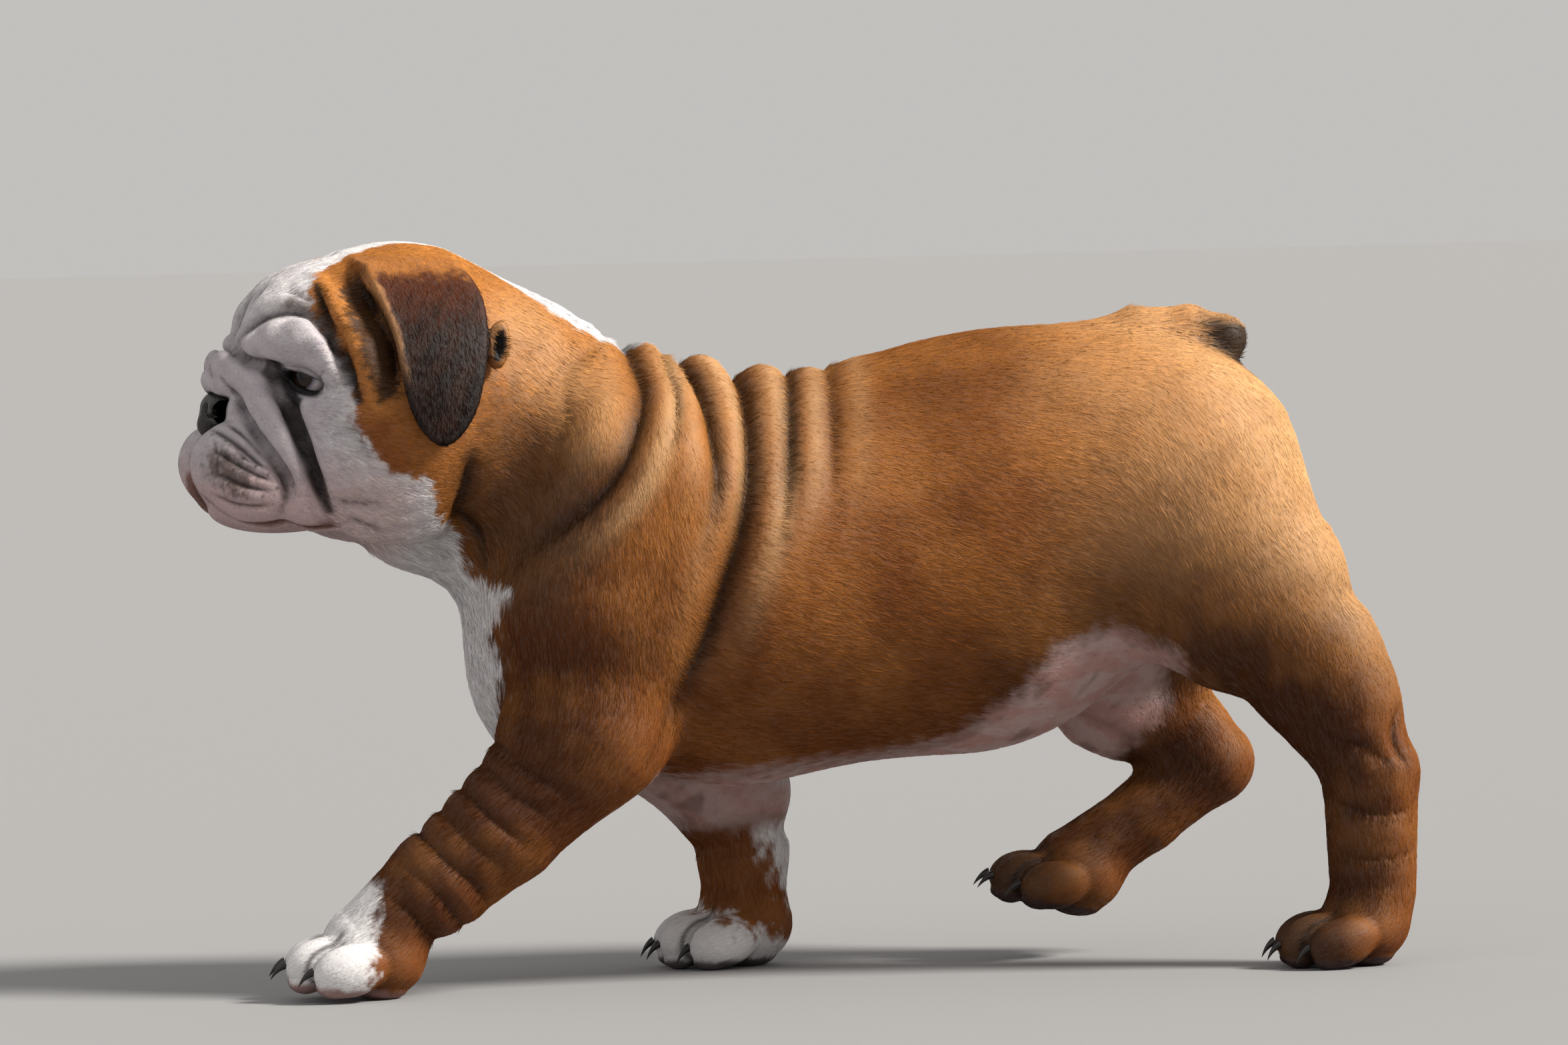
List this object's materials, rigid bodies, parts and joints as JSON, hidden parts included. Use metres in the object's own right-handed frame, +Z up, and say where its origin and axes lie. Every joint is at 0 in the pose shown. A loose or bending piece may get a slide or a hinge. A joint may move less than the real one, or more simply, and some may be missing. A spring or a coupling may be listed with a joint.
{
  "type": "english bulldog puppy model",
  "caption": "Life-size walking english bulldog puppy with folded skin, blunt muzzle, hanging ears and a stub tail, one hind foot lifted.",
  "frame": {"origin": "centre of the bounding box in X and Y, on the floor that the feet stand on", "axes": "+Z up, the nose towards -X, the animal's left side towards -Y"},
  "size_m": [0.4858, 0.1702, 0.296],
  "materials": {
    "fawn_coat": "short red-fawn fur",
    "white_coat": "short white fur",
    "dark_coat": "short dark brown fur",
    "paw_coat": "short brown fur",
    "nose_leather": "moist black leather",
    "eye": "wet, glossy"
  },
  "bodies": {
    "root": {"torso": "fawn_coat", "neck": "fawn_coat", "tail": "fawn_coat", "skull": "fawn_coat", "face": "white_coat", "nose": "nose_leather", "eye_left": "eye", "eye_right": "eye", "ear_left": "dark_coat", "ear_right": "dark_coat", "foreleg_left": "fawn_coat", "foreleg_right": "fawn_coat", "hindleg_left": "fawn_coat", "hindleg_right": "fawn_coat", "forepaw_left": "white_coat", "forepaw_right": "white_coat", "hindpaw_left": "paw_coat", "hindpaw_right": "paw_coat"}
  },
  "joints": []
}
